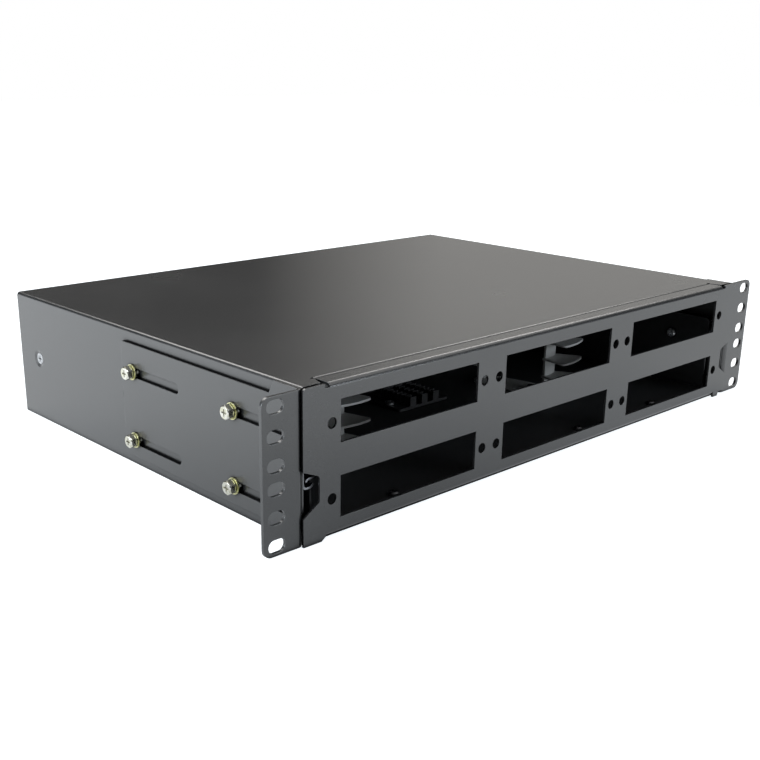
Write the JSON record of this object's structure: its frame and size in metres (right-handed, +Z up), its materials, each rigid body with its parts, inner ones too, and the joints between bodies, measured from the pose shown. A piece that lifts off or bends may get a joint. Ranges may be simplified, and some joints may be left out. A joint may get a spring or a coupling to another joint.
{
  "type": "fibre optic tray",
  "caption": "Sliding fibre optic patch and splice tray for a 19 inch rack: sheet steel housing, drawer on ball slides with adapter windows, adjustable rack brackets.",
  "frame": {"origin": "centre of the rack hole pattern, on the front face of the rack ears", "axes": "+X along the front to the right as seen from the front, +Y to the rear, +Z up"},
  "size_m": [0.4826, 0.3224, 0.0882],
  "materials": {
    "black_powder_coat": "satin fine-texture powder coat",
    "yellow_zinc": "yellow passivated zinc plate",
    "clear_zinc": "bright zinc plate",
    "black_screw": "black zinc plate",
    "bearing_steel": "polished",
    "black_rubber": "matt",
    "grey_plastic": "moulded, fine matt texture"
  },
  "bodies": {
    "housing": {"housing_wrap": "black_powder_coat", "base_pan": "black_powder_coat", "rear_grommets": "black_rubber", "rear_screws": "black_screw", "rear_clinch_nuts": "clear_zinc", "slide_outer_left": "clear_zinc", "slide_outer_right": "clear_zinc", "slide_screws_left": "clear_zinc", "slide_screws_right": "clear_zinc", "slide_bumper_left": "black_rubber", "slide_bumper_right": "black_rubber", "bracket_bolts_left": "yellow_zinc", "bracket_bolts_right": "yellow_zinc", "bracket_spring_washers_left": "yellow_zinc", "bracket_spring_washers_right": "yellow_zinc", "bracket_flat_washers_left": "yellow_zinc", "bracket_flat_washers_right": "yellow_zinc", "bracket_clinch_nuts_left": "clear_zinc", "bracket_clinch_nuts_right": "clear_zinc"},
    "drawer": {"front_panel": "black_powder_coat", "drawer_tray": "black_powder_coat", "tie_bridges": "black_powder_coat", "panel_screws": "clear_zinc", "slide_inner_left": "clear_zinc", "slide_inner_right": "clear_zinc", "inner_slide_screws_left": "clear_zinc", "inner_slide_screws_right": "clear_zinc", "fibre_guide_1": "grey_plastic", "fibre_guide_2": "grey_plastic", "fibre_guide_3": "grey_plastic", "fibre_guide_4": "grey_plastic", "guide_screws": "clear_zinc", "splice_holder_1": "grey_plastic", "splice_holder_2": "grey_plastic", "splice_screws": "clear_zinc"},
    "ball_cage_left": {"slide_cage_left": "clear_zinc", "slide_balls_left": "bearing_steel"},
    "ball_cage_right": {"slide_cage_right": "clear_zinc", "slide_balls_right": "bearing_steel"},
    "bracket_left": {"rack_bracket_left": "black_powder_coat"},
    "bracket_right": {"rack_bracket_right": "black_powder_coat"}
  },
  "joints": [
    {"name": "drawer_slide", "type": "slide", "parent": "housing", "child": "drawer", "axis": [0, -1, 0], "range_m": [0, 0.21]},
    {"name": "cage_slide_left", "type": "slide", "parent": "housing", "child": "ball_cage_left", "axis": [0, -1, 0], "range_m": [0, 0.105]},
    {"name": "cage_slide_right", "type": "slide", "parent": "housing", "child": "ball_cage_right", "axis": [0, -1, 0], "range_m": [0, 0.105]},
    {"name": "bracket_slide_left", "type": "slide", "parent": "housing", "child": "bracket_left", "axis": [0, 1, 0], "range_m": [0, 0.047]},
    {"name": "bracket_slide_right", "type": "slide", "parent": "housing", "child": "bracket_right", "axis": [0, 1, 0], "range_m": [0, 0.047]}
  ],
  "couplings": [
    {"joint": "cage_slide_left", "follows": "drawer_slide", "ratio": 0.5},
    {"joint": "cage_slide_right", "follows": "drawer_slide", "ratio": 0.5}
  ]
}
